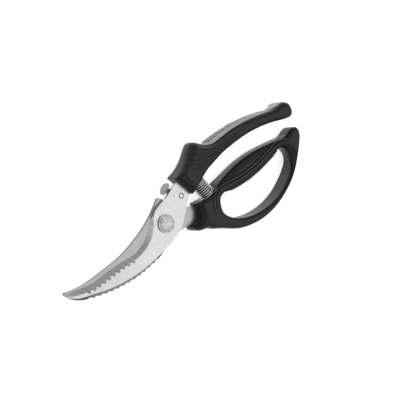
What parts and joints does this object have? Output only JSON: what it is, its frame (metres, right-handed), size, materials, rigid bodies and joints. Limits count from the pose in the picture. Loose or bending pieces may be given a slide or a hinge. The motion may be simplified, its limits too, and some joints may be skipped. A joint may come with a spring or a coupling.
{
  "type": "poultry shears",
  "caption": "Spring-opened poultry shears with curved fluted and saw-toothed blades, a horned thumb handle, a closed finger loop and a side latch.",
  "frame": {"origin": "middle of the bounding box's underside, the plane that the handles lie on", "axes": "+X from the blade tips to the handle ends, +Y towards the thumb handle, +Z along the pivot axis towards the pivot screw's head"},
  "size_m": [0.2436, 0.0834, 0.018],
  "materials": {
    "blade_steel": "bright satin",
    "rear_blade_steel": "satin",
    "pivot_steel": "spin brushed",
    "latch_steel": "brushed",
    "spring_wire": "drawn wire",
    "black_shell": "satin",
    "core_plastic": "as moulded",
    "black_grip": "satin",
    "grey_pad": "soft satin"
  },
  "bodies": {
    "thumb_half": {"front_blade": "blade_steel", "pivot_screw": "pivot_steel", "pivot_washer": "pivot_steel", "pivot_nut": "pivot_steel", "latch_washer": "pivot_steel", "latch_eyelet": "pivot_steel", "upper_bolster": "black_shell", "upper_core": "core_plastic", "upper_grip": "black_grip", "upper_rib_pad": "grey_pad", "upper_end_pad": "grey_pad", "upper_spring_post": "black_shell", "handle_spring": "spring_wire"},
    "loop_half": {"rear_blade": "rear_blade_steel", "loop_bolster": "black_shell", "loop_core": "core_plastic", "loop_grip": "black_grip", "loop_top_strip": "grey_pad", "loop_rib_strip": "black_grip", "loop_spring_post": "black_shell"},
    "latch": {"latch_lever": "latch_steel"}
  },
  "joints": [
    {"name": "blade_pivot", "type": "hinge", "parent": "thumb_half", "child": "loop_half", "pos_m": [-0.0234, 0.0015, 0.0077], "axis": [0, 0, -1], "range_deg": [0, 35], "deforming": ["handle_spring"]},
    {"name": "latch_turn", "type": "hinge", "parent": "thumb_half", "child": "latch", "pos_m": [-0.0009, 0.012, 0.0077], "axis": [0, 0, -1], "range_deg": [0, 14]}
  ]
}
